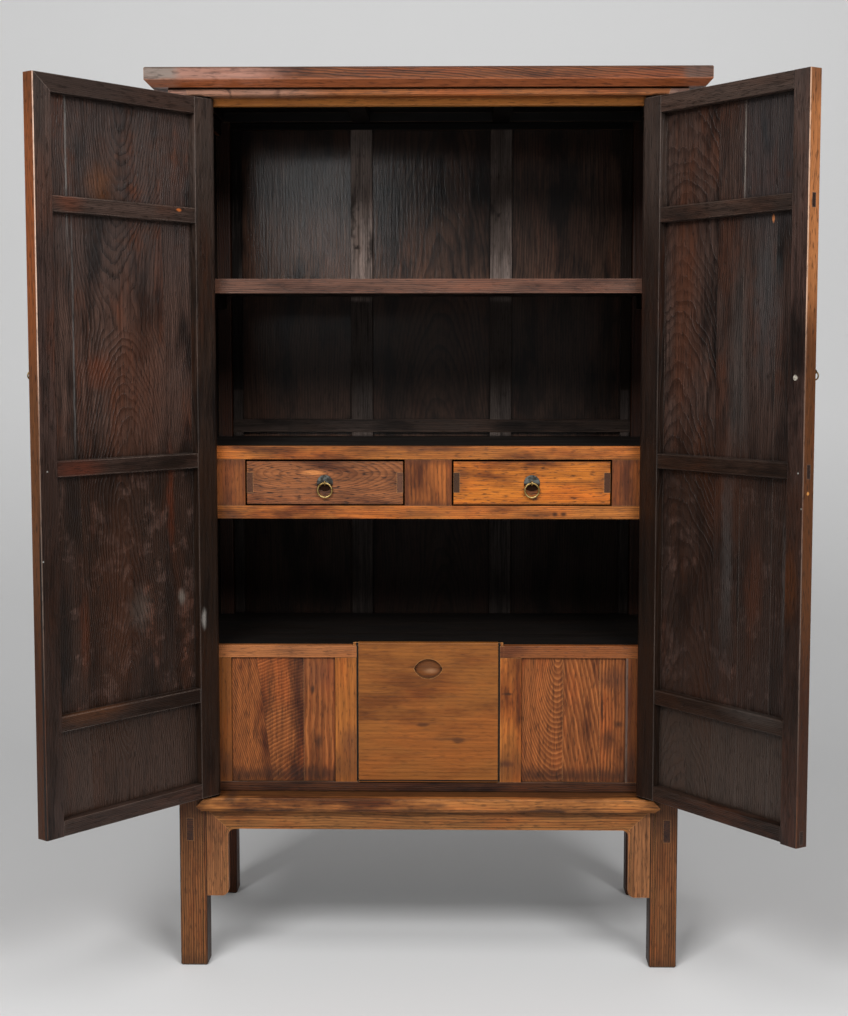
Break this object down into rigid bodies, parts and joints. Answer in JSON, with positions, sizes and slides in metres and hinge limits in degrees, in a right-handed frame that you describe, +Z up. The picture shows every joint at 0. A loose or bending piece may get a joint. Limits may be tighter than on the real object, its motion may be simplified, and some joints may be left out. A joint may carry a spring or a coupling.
{
  "type": "two-door storage cabinet",
  "caption": "Tall moulded-top wooden cabinet, doors open on wooden pivots, with a shelf, drawers with ring pulls and a hidden store behind a lifting hatch.",
  "frame": {"origin": "on the floor, at the centre of the four feet", "axes": "+Z up, the front with its doors towards -Y, +X to the right as seen from the front"},
  "size_m": [1.4642, 0.9399, 1.85],
  "materials": {
    "case_wood": "satin, worn, open elm grain",
    "dark_wood": "matte, old dark stain",
    "inner_wood": "satin, oiled elm",
    "store_panel_wood": "satin, strong elm figure",
    "hatch_wood": "satin, plainer and paler board",
    "door_wood": "satin, dark stained inside, elm outside",
    "drawer_wood": "satin elm",
    "drawer_lining": "raw, dry, matte",
    "pull_plate": "tarnished, grey-green",
    "pull_brass": "tarnished, rubbed bright on the ring"
  },
  "bodies": {
    "case": {"apron": "case_wood", "back_mullions": "dark_wood", "back_panels": "dark_wood", "bank_bottom_rail": "inner_wood", "bank_stiles": "inner_wood", "bank_top_rail": "inner_wood", "base_rail": "case_wood", "drawer_bearer": "dark_wood", "drawer_deck": "dark_wood", "drawer_runners": "dark_wood", "floor_boards": "dark_wood", "front_left_post": "case_wood", "front_right_post": "case_wood", "head_rail": "case_wood", "head_returns": "case_wood", "left_side_panels": "dark_wood", "rear_left_post": "case_wood", "rear_rails": "dark_wood", "rear_right_post": "case_wood", "right_side_panels": "dark_wood", "shelf_boards": "dark_wood", "shelf_cleats": "dark_wood", "side_rails": "case_wood", "spandrels": "case_wood", "store_deck": "dark_wood", "store_panels": "store_panel_wood", "store_rails": "inner_wood", "store_sill": "inner_wood", "store_stiles": "inner_wood", "top_battens": "case_wood", "top_boards": "case_wood", "top_end_rails": "case_wood", "top_front_rail": "case_wood", "top_rear_rail": "case_wood"},
    "left_door": {"left_door_free_stile": "door_wood", "left_door_hinge_stile": "door_wood", "left_door_panels": "door_wood", "left_door_pull_mount": "pull_brass", "left_door_rails": "door_wood"},
    "left_door_ring": {"left_door_pull_ring": "pull_brass"},
    "left_drawer": {"left_drawer_bottom": "drawer_lining", "left_drawer_box": "drawer_lining", "left_drawer_front": "drawer_wood", "left_drawer_pull_pin": "pull_brass", "left_drawer_pull_plate": "pull_plate"},
    "left_drawer_ring": {"left_drawer_pull_ring": "pull_brass"},
    "right_door": {"right_door_free_stile": "door_wood", "right_door_hinge_stile": "door_wood", "right_door_panels": "door_wood", "right_door_pull_mount": "pull_brass", "right_door_rails": "door_wood"},
    "right_door_ring": {"right_door_pull_ring": "pull_brass"},
    "right_drawer": {"right_drawer_bottom": "drawer_lining", "right_drawer_box": "drawer_lining", "right_drawer_front": "drawer_wood", "right_drawer_pull_pin": "pull_brass", "right_drawer_pull_plate": "pull_plate"},
    "right_drawer_ring": {"right_drawer_pull_ring": "pull_brass"},
    "hatch": {"hatch_board": "hatch_wood"}
  },
  "joints": [
    {"name": "left_door_hinge", "type": "hinge", "parent": "case", "child": "left_door", "pos_m": [-0.447, -0.269, 0.364], "axis": [0, 0, -1], "range_deg": [-127.8, 0]},
    {"name": "right_door_hinge", "type": "hinge", "parent": "case", "child": "right_door", "pos_m": [0.447, -0.269, 0.364], "axis": [0, 0, 1], "range_deg": [-124.6, 3]},
    {"name": "left_drawer_slide", "type": "slide", "parent": "case", "child": "left_drawer", "axis": [0, -1, 0], "range_m": [0, 0.32]},
    {"name": "left_drawer_ring_swing", "type": "hinge", "parent": "left_drawer", "child": "left_drawer_ring", "pos_m": [-0.2145, -0.2367, 1.0157], "axis": [-1, 0, 0], "range_deg": [0, 100]},
    {"name": "right_drawer_slide", "type": "slide", "parent": "case", "child": "right_drawer", "axis": [0, -1, 0], "range_m": [0, 0.32]},
    {"name": "right_drawer_ring_swing", "type": "hinge", "parent": "right_drawer", "child": "right_drawer_ring", "pos_m": [0.2145, -0.2367, 1.0157], "axis": [-1, 0, 0], "range_deg": [0, 100]},
    {"name": "hatch_lift", "type": "slide", "parent": "case", "child": "hatch", "axis": [0, 0, 1], "range_m": [0, 0.25]},
    {"name": "left_door_ring_swing", "type": "hinge", "parent": "left_door", "child": "left_door_ring", "pos_m": [-0.7355, -0.58056, 1.2488], "axis": [0.6129, 0.7902, 0], "range_deg": [0, 100]},
    {"name": "right_door_ring_swing", "type": "hinge", "parent": "right_door", "child": "right_door_ring", "pos_m": [0.71765, -0.59618, 1.2488], "axis": [0.5678, -0.8231, 0], "range_deg": [0, 100]}
  ]
}
